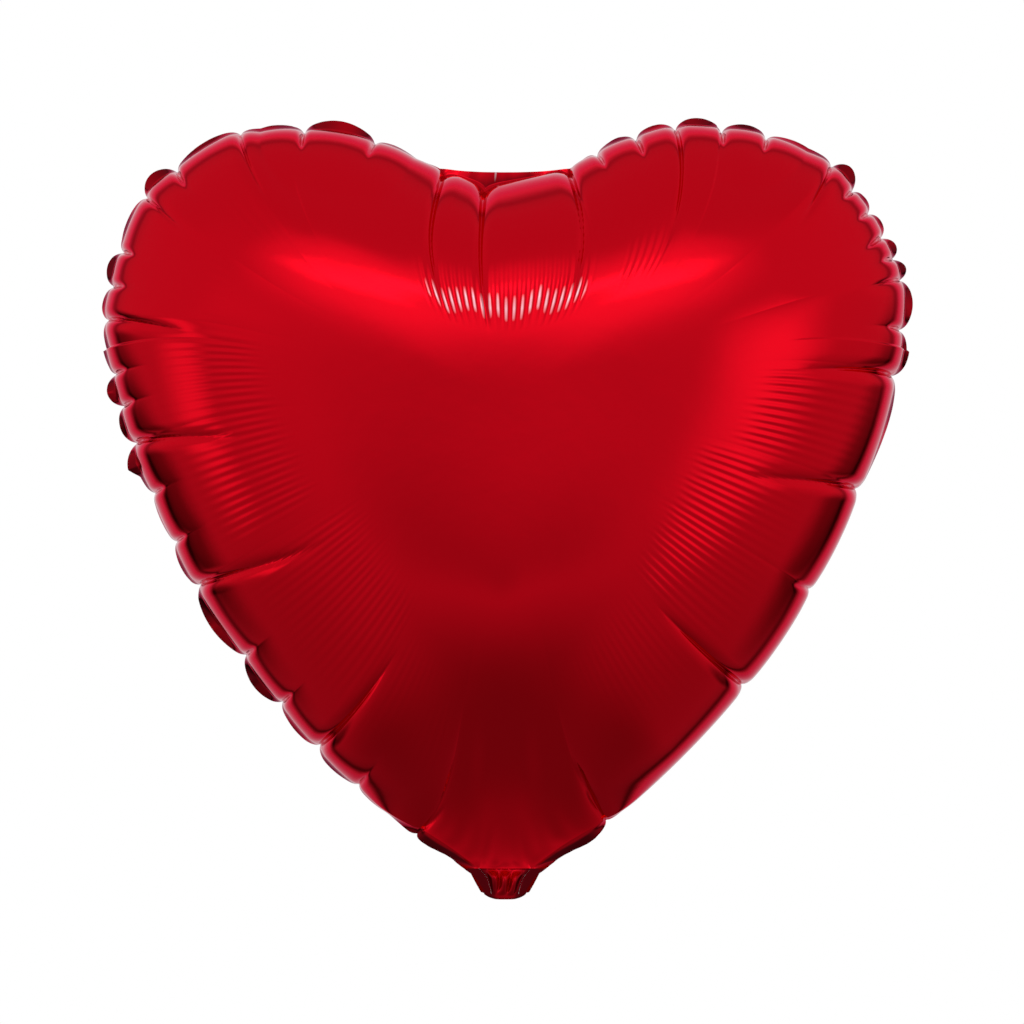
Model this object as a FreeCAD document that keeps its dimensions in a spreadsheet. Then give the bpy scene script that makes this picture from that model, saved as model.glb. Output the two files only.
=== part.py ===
"""Heart-shaped foil balloon, inflated, with its tail tab folded up behind the neck.

Two sheets of metallised film, cut to the same heart, are heat-sealed round their edge.  A flat
self-sealing valve lies between them in the neck, and below the neck the sheets go on as a tail tab
that folds on a crease.  Real film is about 0.03 mm thick: the walls here are thicker stand-ins.

Frame: millimetres, +Z up, the front of the heart faces -Y, the seam lies in the plane Y = 0.
The origin is the middle of the tail's crease, where a ribbon is tied.
"""
import FreeCAD, Part
import Sketcher

import math
import os

V = FreeCAD.Vector
START, END, CENTRE = 1, 2, 3  # a sketch arc's own points
VERTICAL_AXIS = -2  # a sketch's own axis

doc = FreeCAD.newDocument("heart_foil_balloon")


# ---- Driving dimensions ---------------------------------------------------------------------
SIZES = {
    # The heart's outline, at the outer edge of its sealed rim.
    "heart_top": 376.0,  # height of the two lobes above the crease
    "lobe_offset": 103.0,  # from the middle to the top of a lobe
    "crown_radius": 144.0,  # from a lobe's top in towards the cleft
    "cleft_radius": 50.0,  # the hollow between the lobes
    "shoulder_radius": 92.0,  # from a lobe's top out to the side
    "side_radius": 390.0,  # from the shoulder down to the neck
    # The bulge of each panel.
    "rim_width": 6.0,  # flat heat seal round the heart
    "bulge_depth": 83.0,  # of each panel, from the seam plane
    "bulge_power": 2.8,  # a higher power gives a flatter middle
    "bulge_middle": 240.0,  # height of the deepest point above the crease
    "cleft_fade": 6.0,  # how fast the cleft smooths out towards the middle
    "tip_height": 20.0,  # where the bulge begins above the neck
    "tip_width": 20.0,
    "tip_power": 1.11,  # a higher power gives a blunter tip
    "wall": 0.5,  # stand-in thickness of one sheet
    # The neck, from the heart down to the crease.
    "neck_height": 14.0,
    "neck_width": 40.0,
    "crease_width": 24.0,  # the film is gathered here
    "crease_gap": 1.6,  # bare film on each side of the crease line
    # The valve between the sheets.
    "valve_width": 25.0,
    "valve_length": 110.0,
    "valve_film": 0.2,
    "valve_clearance": 0.5,  # on each side of the valve in its channel
    "coating_thickness": 0.1,
    "coating_length": 18.0,
    "coating_margin": 1.5,  # from the coating's side to the valve's side
    # The tail tab, measured from the crease.
    "tail_length": 36.0,
    "tail_width": 38.0,
    "tail_flare": 20.0,  # where the gathered film has spread to its full width
    "tail_lean": 50.0,  # degrees from straight up, when folded back
    "inlet_depth": 0.15,  # half the slot that the gas nozzle enters
    "inlet_seal": 6.0,  # sealed band along each side of the tab
}

# A panel's bulge is lofted through copies of the outline, shrunk towards the bulge's middle.
SECTION_SCALES = (1.0, 0.99, 0.96, 0.90, 0.80, 0.66, 0.48, 0.28, 0.12)

sheet = doc.addObject("Spreadsheet::Sheet", "Sizes")
for row, (alias, value) in enumerate(SIZES.items(), start=1):
    sheet.set(f"A{row}", alias)
    sheet.set(f"B{row}", str(value))
    sheet.setAlias(f"B{row}", alias)
doc.recompute()


# ---- Helpers --------------------------------------------------------------------------------
def evaluate(expression):
    """The number that an expression on the sheet gives."""
    return float(sheet.evalExpression(expression))


def add_body(label):
    body = doc.addObject("PartDesign::Body", label)
    body.Label = label
    return body


def add_sketch(body, name, offset="0"):
    """A sketch parallel to the seam plane, moved by offset towards the front."""
    sketch = body.newObject("Sketcher::SketchObject", name)
    plane = next(f for f in body.Origin.OriginFeatures if f.Role == "XZ_Plane")
    sketch.AttachmentSupport = [(plane, "")]
    sketch.MapMode = "FlatFace"
    sketch.setExpression("AttachmentOffset.Base.z", offset)
    return sketch


def drive(sketch, name, expression, kind, *where):
    """Add a dimension that follows an expression on the sheet."""
    index = sketch.addConstraint(Sketcher.Constraint(kind, *where, evaluate(expression)))
    sketch.renameConstraint(index, name)
    sketch.setExpression(f"Constraints.{name}", expression)


def drive_point(sketch, name, edge, end, x, z):
    """Place one end of an edge at two expressions."""
    drive(sketch, f"{name}_x", x, "DistanceX", edge, end)
    drive(sketch, f"{name}_z", z, "DistanceY", edge, end)


def add_arc(sketch, centre, radius, first, last):
    """An arc that runs anticlockwise from one angle to another, in radians."""
    circle = Part.Circle(centre, V(0, 0, 1), radius)
    return sketch.addGeometry(Part.ArcOfCircle(circle, first, last), False)


def angle_of(vector):
    return math.atan2(vector.y, vector.x)


def add_polygon(sketch, corners):
    """A closed outline; corners maps a name to its (x, z) expressions."""
    points = {name: V(evaluate(x), evaluate(z), 0) for name, (x, z) in corners.items()}
    names = list(corners)
    edges = [
        sketch.addGeometry(Part.LineSegment(points[name], points[following]), False)
        for name, following in zip(names, names[1:] + names[:1])
    ]
    for edge, following in zip(edges, edges[1:] + edges[:1]):
        sketch.addConstraint(Sketcher.Constraint("Coincident", edge, END, following, START))
    for edge, name in zip(edges, names):
        drive_point(sketch, name, edge, START, *corners[name])


def add_feature(body, kind, name, profile, **settings):
    """A PartDesign feature on a profile; settings given as text are expressions."""
    feature = body.newObject(f"PartDesign::{kind}", name)
    feature.Profile = profile
    for key, value in settings.items():
        if isinstance(value, str):
            feature.setExpression(key, value)
        else:
            setattr(feature, key, value)
    return feature


def add_loft(body, kind, name, profiles):
    loft = add_feature(body, kind, name, profiles[0])
    loft.Sections = profiles[1:]
    loft.Closed = False
    loft.Ruled = False
    return loft


# ---- The heart's outline --------------------------------------------------------------------
def draw_half_heart(sketch, sizes, bottom):
    """The right half of a heart: four tangent arcs, then straight lines back along the bottom.

    sizes holds an expression for each arc; bottom lists the outline's corners below the side arc,
    as name -> (x, z) expressions, ending on the middle line.
    """
    value = {name: evaluate(expression) for name, expression in sizes.items()}
    corners = [V(evaluate(x), evaluate(z), 0) for x, z in bottom.values()]

    crown_centre = V(value["lobe"], value["top"] - value["crown"], 0)
    shoulder_centre = V(value["lobe"], value["top"] - value["shoulder"], 0)
    reach = value["crown"] + value["cleft"]
    cleft_centre = V(0, crown_centre.y + math.sqrt(reach**2 - value["lobe"] ** 2), 0)

    # The side arc touches the shoulder from outside and ends at the first corner.
    inner = Part.Circle(shoulder_centre, V(0, 0, 1), value["side"] - value["shoulder"])
    outer = Part.Circle(corners[0], V(0, 0, 1), value["side"])
    meetings = [V(p.X, p.Y, 0) for p in inner.intersect(outer)]
    side_centre = min(meetings, key=lambda point: point.x)
    turn = angle_of(shoulder_centre - side_centre)

    cleft = add_arc(sketch, cleft_centre, value["cleft"], -math.pi / 2,
                    angle_of(crown_centre - cleft_centre))
    crown = add_arc(sketch, crown_centre, value["crown"], math.pi / 2,
                    angle_of(cleft_centre - crown_centre))
    shoulder = add_arc(sketch, shoulder_centre, value["shoulder"], turn, math.pi / 2)
    side = add_arc(sketch, side_centre, value["side"], angle_of(corners[0] - side_centre), turn)

    path = corners + [V(0, cleft_centre.y - value["cleft"], 0)]
    lines = [
        sketch.addGeometry(Part.LineSegment(first, last), False)
        for first, last in zip(path, path[1:])
    ]

    for first, last in (((side, END), (shoulder, START)), ((shoulder, END), (crown, START)),
                        ((crown, END), (cleft, END))):
        sketch.addConstraint(Sketcher.Constraint("Tangent", *first, *last))
    sketch.addConstraint(Sketcher.Constraint("Coincident", side, START, lines[0], START))
    for line, following in zip(lines, lines[1:]):
        sketch.addConstraint(Sketcher.Constraint("Coincident", line, END, following, START))
    sketch.addConstraint(Sketcher.Constraint("Coincident", lines[-1], END, cleft, START))
    sketch.addConstraint(Sketcher.Constraint("PointOnObject", cleft, CENTRE, VERTICAL_AXIS))
    sketch.addConstraint(Sketcher.Constraint("PointOnObject", cleft, START, VERTICAL_AXIS))

    for arc, name in ((cleft, "cleft"), (crown, "crown"), (shoulder, "shoulder"), (side, "side")):
        drive(sketch, name, sizes[name], "Radius", arc)
    drive(sketch, "lobe", sizes["lobe"], "DistanceX", crown, CENTRE)
    drive(sketch, "lobe_top", sizes["lobe"], "DistanceX", shoulder, CENTRE)
    drive(sketch, "top", sizes["top"], "DistanceY", crown, START)
    for line, (name, (x, z)) in zip(lines, bottom.items()):
        drive_point(sketch, name, line, START, x, z)


RIM = {
    "lobe": "Sizes.lobe_offset",
    "top": "Sizes.heart_top",
    "crown": "Sizes.crown_radius",
    "cleft": "Sizes.cleft_radius",
    "shoulder": "Sizes.shoulder_radius",
    "side": "Sizes.side_radius",
}


def bulge_section(scale, inset):
    """The bulge's outline at one scale, drawn in by inset: its arcs and its bottom corners."""
    depth_share = f"sqrt(1 - pow({scale}; Sizes.bulge_power))"
    tip_rise = f"pow(asin({depth_share}) / 90 deg; Sizes.tip_power)"
    arcs = {
        "lobe": f"Sizes.lobe_offset * {scale}",
        "top": "Sizes.bulge_middle"
               f" + (Sizes.heart_top - Sizes.rim_width - Sizes.bulge_middle) * {scale} - {inset}",
        "crown": f"(Sizes.crown_radius - Sizes.rim_width) * {scale} - {inset}",
        "cleft": f"(Sizes.cleft_radius + Sizes.rim_width) * {scale}"
                 f" * (1 + Sizes.cleft_fade * (1 - {scale})) + {inset}",
        "shoulder": f"(Sizes.shoulder_radius - Sizes.rim_width) * {scale} - {inset}",
        "side": f"(Sizes.side_radius - Sizes.rim_width) * {scale} - {inset}",
    }
    tip = f"Sizes.tip_height + (Sizes.bulge_middle - Sizes.tip_height) * {tip_rise} + {inset}"
    bottom = {
        "tip_corner": (f"Sizes.tip_width / 2 * {scale} - {inset}", tip),
        "tip_middle": ("0", tip),
    }
    return depth_share, arcs, bottom


def loft_bulge(body, kind, name, inset):
    """Loft the bulge through its sections, drawn in by inset on every side."""
    profiles = []
    for number, scale in enumerate(SECTION_SCALES):
        depth_share, arcs, bottom = bulge_section(scale, inset)
        offset = f"(Sizes.bulge_depth - {inset}) * {depth_share}"
        sketch = add_sketch(body, f"{name}_section_{number}", offset)
        draw_half_heart(sketch, arcs, bottom)
        profiles.append(sketch)
    return add_loft(body, kind, name, profiles)


# ---- The two panels -------------------------------------------------------------------------
def build_front_half():
    """The right half of the front panel: sealed rim and neck, bulge, and the valve's channel."""
    body = add_body("front_panel_right_half")
    rim = add_sketch(body, "rim_outline")
    draw_half_heart(rim, RIM, {
        "neck_corner": ("Sizes.neck_width / 2", "Sizes.neck_height"),
        "crease_corner": ("Sizes.crease_width / 2", "Sizes.crease_gap"),
        "crease_middle": ("0", "Sizes.crease_gap"),
    })
    add_feature(body, "Pad", "rim", rim, Length="Sizes.wall")
    loft_bulge(body, "AdditiveLoft", "bulge", "0")
    loft_bulge(body, "SubtractiveLoft", "gas_space", "Sizes.wall")

    channel = add_sketch(body, "valve_channel_outline")
    half_width = "Sizes.valve_width / 2 + Sizes.valve_clearance"
    above_tip = f"Sizes.tip_height + {half_width} - Sizes.tip_width / 2 + 2 * Sizes.wall"
    add_polygon(channel, {
        "low_middle": ("0", "0"),
        "low_side": (half_width, "0"),
        "high_side": (half_width, above_tip),
        "high_middle": ("0", above_tip),
    })
    pocket = add_feature(body, "Pocket", "valve_channel", channel,
                         Length="Sizes.valve_film + Sizes.coating_thickness / 2")
    pocket.Reversed = True
    body.Tip = pocket
    return body


def mirror(source, label, normal):
    """A mirror image of a piece about the plane through the origin with this normal."""
    image = doc.addObject("Part::Mirroring", label)
    image.Label = label
    image.Source = source
    image.Base = V(0, 0, 0)
    image.Normal = normal
    return image


def build_panels():
    right = build_front_half()
    left = mirror(right, "front_panel_left_half", V(1, 0, 0))
    front = doc.addObject("Part::MultiFuse", "front_panel")
    front.Label = "front_panel"
    front.Shapes = [right, left]
    rear = mirror(front, "rear_panel", V(0, 1, 0))
    return [front, rear]


# ---- The valve ------------------------------------------------------------------------------
def add_strip(label, width, length, thickness, low_y):
    """A flat strip in the neck, centred across it, that starts at the crease's upper side."""
    strip = doc.addObject("Part::Box", label)
    strip.Label = label
    strip.setExpression("Length", width)
    strip.setExpression("Width", thickness)
    strip.setExpression("Height", length)
    strip.setExpression("Placement.Base.x", f"-({width}) / 2")
    strip.setExpression("Placement.Base.y", low_y)
    strip.setExpression("Placement.Base.z", "Sizes.crease_gap")
    return strip


def build_valve():
    """Two soft films, sealed along their sides, with the release coating between their mouths."""
    film = ("Sizes.valve_width", "Sizes.valve_length", "Sizes.valve_film")
    half_coating = "Sizes.coating_thickness / 2"
    return [
        add_strip("valve_front_film", *film, f"-Sizes.valve_film - {half_coating}"),
        add_strip("valve_rear_film", *film, half_coating),
        add_strip("valve_release_coating", "Sizes.valve_width - 2 * Sizes.coating_margin",
                  "Sizes.coating_length", "Sizes.coating_thickness", f"-{half_coating}"),
    ]


# ---- The tail tab ---------------------------------------------------------------------------
def build_tail_layer(label, faces_front):
    """One sheet of the tab, drawn standing up from the crease and then leant back.

    Folded up, the tab is upside down, so the sheet that belongs to the front lies behind.
    """
    body = add_body(label)
    outline = add_sketch(body, f"{label}_outline")
    root = "Sizes.crease_width / 2"
    side = "Sizes.tail_width / 2"
    corners = {
        "root_left": (f"-{root}", "Sizes.crease_gap"),
        "root_right": (root, "Sizes.crease_gap"),
        "flare_right": (side, "Sizes.tail_flare"),
        "end_right": (side, "Sizes.tail_length"),
        "end_left": (f"-{side}", "Sizes.tail_length"),
        "flare_left": (f"-{side}", "Sizes.tail_flare"),
    }
    add_polygon(outline, corners)
    pad = add_feature(body, "Pad", f"{label}_sheet", outline, Length="Sizes.wall")
    pad.Reversed = faces_front

    inlet = add_sketch(body, f"{label}_inlet_outline")
    half_slot = "(Sizes.crease_width / 2 - Sizes.inlet_seal)"
    add_polygon(inlet, {
        "low_left": (f"-{half_slot}", "Sizes.crease_gap"),
        "low_right": (half_slot, "Sizes.crease_gap"),
        "middle_right": (f"{side} - Sizes.inlet_seal", "Sizes.tail_flare"),
        "high_right": (f"{side} - Sizes.inlet_seal", "Sizes.tail_length"),
        "high_left": (f"Sizes.inlet_seal - {side}", "Sizes.tail_length"),
        "middle_left": (f"Sizes.inlet_seal - {side}", "Sizes.tail_flare"),
    })
    pocket = add_feature(body, "Pocket", f"{label}_inlet", inlet, Length="Sizes.inlet_depth")
    pocket.Reversed = not faces_front
    body.Tip = pocket
    body.setExpression("Placement.Rotation.Axis.x", "1")
    body.setExpression("Placement.Rotation.Axis.y", "0")
    body.setExpression("Placement.Rotation.Axis.z", "0")
    body.setExpression("Placement.Rotation.Angle", "-Sizes.tail_lean * 1 deg")
    return body


# ---- Build, check and write -----------------------------------------------------------------
nodes = build_panels() + build_valve()
nodes += [build_tail_layer("front_tail_layer", True), build_tail_layer("rear_tail_layer", False)]
doc.recompute()

for item in doc.Objects:
    if {"Invalid", "Error"} & set(item.State):
        raise RuntimeError(f"{item.Label}: {item.State}")
for node in nodes:
    if node.Shape.isNull() or not node.Shape.isValid():
        raise RuntimeError(f"{node.Label} has no valid shape")
    if len(node.Shape.Solids) != 1:
        raise RuntimeError(f"{node.Label} has {len(node.Shape.Solids)} solids")

os.makedirs("parts", exist_ok=True)
for node in nodes:
    node.Shape.exportStep(f"parts/{node.Label}.step")
    box = node.Shape.BoundBox
    print(f"{node.Label:22s} volume {node.Shape.Volume:10.1f}  x {box.XMin:7.1f} {box.XMax:6.1f}"
          f"  y {box.YMin:6.1f} {box.YMax:5.1f}  z {box.ZMin:6.1f} {box.ZMax:6.1f}")
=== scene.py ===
# %% [markdown]
# # A heart-shaped foil balloon
# The real balloon is two sheets of metallised film, cut to one heart and welded round the edge.
# Gas can't stretch this film, so as the sheets bulge their rims have too much length and gather:
# deep creases run in from the weld, fine ripples lie between them, and the welded edge curls back.
# Each sheet is made here as one open cloth mesh, bent from a flat grid whose columns run in from
# the weld and whose rows run round it, because every fold on the balloon follows those two ways.

import math

import bmesh
import bpy
import numpy as np
from mathutils import Matrix, Vector


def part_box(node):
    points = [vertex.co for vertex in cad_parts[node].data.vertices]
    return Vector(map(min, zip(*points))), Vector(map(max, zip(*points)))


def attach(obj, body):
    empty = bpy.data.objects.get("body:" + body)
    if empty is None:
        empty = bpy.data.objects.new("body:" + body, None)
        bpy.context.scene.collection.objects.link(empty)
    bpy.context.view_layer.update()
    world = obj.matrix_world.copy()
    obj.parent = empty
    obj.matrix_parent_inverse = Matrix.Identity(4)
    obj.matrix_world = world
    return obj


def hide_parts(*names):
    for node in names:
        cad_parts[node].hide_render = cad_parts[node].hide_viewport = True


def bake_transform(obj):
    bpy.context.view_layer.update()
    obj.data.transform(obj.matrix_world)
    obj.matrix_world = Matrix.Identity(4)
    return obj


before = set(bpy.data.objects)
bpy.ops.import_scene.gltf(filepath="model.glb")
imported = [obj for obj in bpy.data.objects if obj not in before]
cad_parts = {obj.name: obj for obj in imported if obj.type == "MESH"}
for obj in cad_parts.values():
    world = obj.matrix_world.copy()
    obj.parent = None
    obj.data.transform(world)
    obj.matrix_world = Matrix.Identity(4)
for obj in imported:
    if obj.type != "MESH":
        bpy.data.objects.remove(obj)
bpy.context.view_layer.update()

# %% [markdown]
# ## The heart's outline
# The frame gives the outer sizes, and the radii are the cutter's own. Each side of the outline is
# four arcs that meet in line: the cleft, the crown and the shoulder of the lobe, and the long side
# down to the neck. Places round the outline are lengths along it from the cleft, positive on the
# right, because the creases lie at such places.

# %% Sizes of the heart
MM = 0.001
panel_low, panel_high = (np.array(corner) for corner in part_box("front_panel"))
HEART_TOP = panel_high[2]
BULGE = -panel_low[1]

CLEFT_RADIUS = 50 * MM
CROWN_RADIUS = 144 * MM
SHOULDER_RADIUS = 92 * MM
SIDE_RADIUS = 390 * MM
LOBE = panel_high[0] - SHOULDER_RADIUS  # from the middle to the top of a lobe
NECK_CORNER = np.array((20 * MM, 14 * MM))
MIDDLE = np.array((0.0, 240 * MM))  # where the bulge is deepest


# %% [markdown]
# Where two arcs meet in line, both centres and the meeting point lie on one line, which gives each
# centre from the one before. A spline could draw the same outline, but arcs keep the radii.

# %% Centres of the arcs
def centre_near(point_a, distance_a, point_b, distance_b):
    """The leftmost point at two given distances from two points."""
    step = point_b - point_a
    apart = np.linalg.norm(step)
    along = (distance_a**2 - distance_b**2 + apart**2) / (2 * apart)
    aside = math.sqrt(distance_a**2 - along**2) / apart
    foot = point_a + step * along / apart
    offset = aside * np.array((step[1], -step[0]))
    return min((foot + offset, foot - offset), key=lambda point: point[0])


def bearing(start, end):
    """Angle of the direction from one point to another."""
    return math.atan2(end[1] - start[1], end[0] - start[0])


crown_centre = np.array((LOBE, HEART_TOP - CROWN_RADIUS))
shoulder_centre = np.array((LOBE, HEART_TOP - SHOULDER_RADIUS))
cleft_rise = math.sqrt((CROWN_RADIUS + CLEFT_RADIUS) ** 2 - LOBE**2)
cleft_centre = np.array((0.0, crown_centre[1] + cleft_rise))
side_centre = centre_near(
    shoulder_centre, SIDE_RADIUS - SHOULDER_RADIUS, NECK_CORNER, SIDE_RADIUS
)

# Each arc: its centre, radius, first and last bearing, and 1 if it bends outwards, -1 if inwards.
ARCS = (
    (cleft_centre, CLEFT_RADIUS, -math.pi / 2, bearing(cleft_centre, crown_centre), -1),
    (crown_centre, CROWN_RADIUS, bearing(crown_centre, cleft_centre), math.pi / 2, 1),
    (shoulder_centre, SHOULDER_RADIUS, math.pi / 2, bearing(side_centre, shoulder_centre), 1),
    (side_centre, SIDE_RADIUS, bearing(side_centre, shoulder_centre),
     bearing(side_centre, NECK_CORNER), 1),
)
arc_lengths = [radius * abs(last - first) for _, radius, first, last, _ in ARCS]
ARC_STARTS = np.concatenate(([0.0], np.cumsum(arc_lengths)))
HALF_OUTLINE = ARC_STARTS[-1]
print(f"outline: {2 * HALF_OUTLINE:.3f} m round the heart, {2 * panel_high[0]:.3f} m wide")


# %% A point on the outline
def outline(along):
    """Points, outward directions and curvatures of the outline at signed lengths from the cleft."""
    distance = np.abs(along)
    point = np.zeros((len(along), 2))
    outward = np.zeros((len(along), 2))
    curvature = np.zeros(len(along))
    for (centre, radius, first, last, bend), start, length in zip(ARCS, ARC_STARTS, arc_lengths):
        here = distance >= start
        angle = first + (last - first) * (distance[here] - start) / length
        spoke = np.stack((np.cos(angle), np.sin(angle)), axis=1)
        point[here] = centre + radius * spoke
        outward[here] = bend * spoke
        curvature[here] = bend / radius
    side = np.where(along < 0, -1.0, 1.0)
    point[:, 0] *= side
    outward[:, 0] *= side
    return point, outward, curvature


# %% [markdown]
# ## One flat grid for a sheet
# Fine ripples need columns half a millimetre apart at the weld, but the smooth middle doesn't. So
# a coarse grid is divided again and again, each time over fewer rows from the weld, and it stays
# flat while that is done: one coordinate is the place round the outline, the other the row.
# A second grid is the neck and the tail tab, which the same sheet goes on into.

# %% Rows and columns
COARSE_COLUMNS = 72
NECK_COARSE = 2  # coarse columns that rise from the neck's line
FIN_ROWS = 4  # rows across the welded edge
FINE_ROWS = 28  # rows from the weld in to the end of the ripples
FINE_REACH = 76 * MM
LAST_ROW_OF_DIVISION = (43, 39, 36, 32, FINE_ROWS)
ROWS = 47
NECK_START = (COARSE_COLUMNS - NECK_COARSE) / 2 / COARSE_COLUMNS
NECK_COLUMNS = NECK_COARSE * 2 ** len(LAST_ROW_OF_DIVISION)

PART_PANEL, PART_FIN, PART_STRIP = 0, 1, 2
print(f"grid: {NECK_COLUMNS} columns on the neck's line, {ROWS} rows from the weld to the middle")


def flat_grid(bm):
    """The sheet of one heart, flat: x is 0 to 1 round the outline and y is the row from the weld."""
    bmesh.ops.create_grid(
        bm, x_segments=COARSE_COLUMNS, y_segments=FIN_ROWS + ROWS, size=0.5
    )
    for vert in bm.verts:
        vert.co.x = round((vert.co.x + 0.5) * COARSE_COLUMNS) / COARSE_COLUMNS
        vert.co.y = round((vert.co.y + 0.5) * (FIN_ROWS + ROWS)) - FIN_ROWS
    for last_row in LAST_ROW_OF_DIVISION:
        across = [
            edge for edge in bm.edges
            if edge.verts[0].co.y == edge.verts[1].co.y <= last_row
        ]
        bmesh.ops.subdivide_edges(bm, edges=across, cuts=1)
    under_neck = [
        face for face in bm.faces
        if face.calc_center_median().y < 0
        and NECK_START < face.calc_center_median().x < 1 - NECK_START
    ]
    bmesh.ops.delete(bm, geom=under_neck, context="FACES")


# %% [markdown]
# ## Where the columns run
# Film folds along lines that run square in from the weld, so each column leaves the weld square
# and bends gently to the deepest point of the bulge. A cubic curve does both. Near the neck the
# columns crowd together, so there they turn upwards sooner.

# %% Helpers for curves and soft steps
def smooth(low, high, value):
    """0 below low, 1 above high, and a soft step between."""
    share = np.clip((value - low) / (high - low), 0, 1)
    return share * share * (3 - 2 * share)


def mix(a, b, share):
    """A value the given share of the way from a to b."""
    return a + (b - a) * share


def wander(place, period, seed):
    """A smooth random curve along a line, within about 1 either way."""
    draw = np.random.RandomState(seed)
    total = np.zeros_like(place)
    for octave in (1.0, 1.7, 2.9):
        total += np.sin(2 * math.pi * (place * octave / period + draw.rand())) / octave**0.7
    return total / 2


def wander_over(x, z, period, seed):
    """A smooth random relief over a surface, within about 1 either way."""
    draw = np.random.RandomState(seed)
    total = np.zeros_like(x)
    for _ in range(7):
        heading = draw.rand() * 2 * math.pi
        scale = period * (0.7 + 0.9 * draw.rand())
        line = x * math.cos(heading) + z * math.sin(heading)
        total += np.sin(2 * math.pi * (line / scale + draw.rand()))
    return total / 3.5


# %% [markdown]
# The weld's inner line is the outline moved in a little, and further at the cleft and along the
# neck. The columns start there. Their control points are averaged round the heart, so that no corner
# of the outline shows as a ridge.

# %% The weld and the columns
SEAM_INSET = 1.5 * MM  # from the outline in to the weld's inner line
CLEFT_INSET = 3.5 * MM
NECK_SEAL = 7.5 * MM  # the weld is wider along the neck
FIN_WIDTH = 6.5 * MM
COLUMN_SHARE_INSIDE = (2.0, 0.65, 0.46, 0.87)  # width of a column deep in the folds, by arc
SQUARE_RUN = 75 * MM  # how far a column keeps its first direction
NECK_BLEND = 28 * MM
LAYER = 0.05 * MM  # half of the two films' thickness in the weld
INSET_CHANGE = (30 * MM, 62 * MM)  # where the cleft's inset turns into the rest's
NECK_AIM = 32 * MM  # how high above the tie the columns of the neck are aimed

column_widths = [
    length * (1 + share) for length, share in zip(arc_lengths, COLUMN_SHARE_INSIDE)
]
column_measure = np.concatenate(([0.0], np.cumsum(column_widths)))


def place_of_column(column):
    """Signed length round the outline for a column from 0 to 1; past the side it is the corner."""
    half = np.minimum(column, 1 - column)
    measure = np.minimum(half / NECK_START, 1) * column_measure[-1]
    return np.where(column > 0.5, -1, 1) * np.interp(measure, column_measure, ARC_STARTS)


def weld_line(along):
    """Inner line of the weld, the direction straight out of it, and the outline beside it."""
    outer, outward, curvature = outline(along)
    distance = np.abs(along)
    side = np.where(along < 0, -1.0, 1.0)
    inset = mix(CLEFT_INSET, SEAM_INSET, smooth(*INSET_CHANGE, distance))
    near_neck = smooth(HALF_OUTLINE - 2 * NECK_BLEND, HALF_OUTLINE, distance)
    inset = mix(inset, NECK_SEAL, near_neck)
    sideways = np.stack((side, np.zeros_like(side)), axis=1)
    out = mix(outward, sideways, near_neck[:, None] ** 2)
    out /= np.linalg.norm(out, axis=1)[:, None]
    return outer - out * inset[:, None], out, outward, curvature, near_neck


def raw_curve(column):
    """The first two control points of each column's curve, before the second is evened out."""
    along = place_of_column(column)
    seam, _, outward, _, near_neck = weld_line(along)
    distance = np.abs(along)
    room = 0.55 * np.abs(seam[:, 0]) / np.maximum(np.abs(outward[:, 0]), 0.05)
    tight = (SQUARE_RUN**-3 + np.maximum(room, 1 * MM) ** -3) ** (-1 / 3)
    run = mix(SQUARE_RUN, tight, smooth(ARC_STARTS[2], ARC_STARTS[3] + 80 * MM, distance))
    second = seam - outward * run[:, None]
    in_neck = (column > NECK_START) & (column < 1 - NECK_START)
    across = (0.5 - column) / (0.5 - NECK_START)
    neck_half = NECK_CORNER[0] - NECK_SEAL
    side = np.where(column > 0.5, -1.0, 1.0)
    neck_second = np.stack(
        (0.6 * neck_half * np.where(in_neck, across, side), np.full(len(column), NECK_AIM)), axis=1
    )
    second = mix(second, neck_second, np.where(in_neck, 1.0, near_neck**2)[:, None])
    seam[in_neck, 0] = neck_half * across[in_neck]
    seam[in_neck, 1] = NECK_CORNER[1]
    return seam, second


EVEN_SAMPLES = 2304
even_columns = np.arange(EVEN_SAMPLES) / EVEN_SAMPLES


def evened(points, reach):
    """Points round the heart, each averaged with those up to reach samples away."""
    weights = np.exp(-np.linspace(-2.2, 2.2, 2 * reach + 1) ** 2)
    shifts = range(-reach, reach + 1)
    total = sum(weight * np.roll(points, shift, axis=0) for weight, shift in zip(weights, shifts))
    return total / weights.sum()


SECOND_EVENING, THIRD_EVENING = 95, 330  # samples averaged on each side
THIRD_SHARE = 0.45  # how far out from the middle the third control points stay
_, rough_second = raw_curve(even_columns)
even_second = evened(rough_second, SECOND_EVENING)
even_third = MIDDLE + THIRD_SHARE * (evened(rough_second, THIRD_EVENING) - MIDDLE)
print(f"columns: {EVEN_SAMPLES} curves from the weld to the middle")


def column_curve(column):
    """The control points of each column's curve, from the weld to the middle."""
    seam, _ = raw_curve(column)
    second, third = (
        np.stack(
            [np.interp(column, even_columns, table[:, axis], period=1) for axis in (0, 1)], axis=1
        )
        for table in (even_second, even_third)
    )
    return seam, second, third


CURVE_STEPS = 64
ROW_CROWDING = 2.1  # how strongly the rows crowd towards the weld


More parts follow.
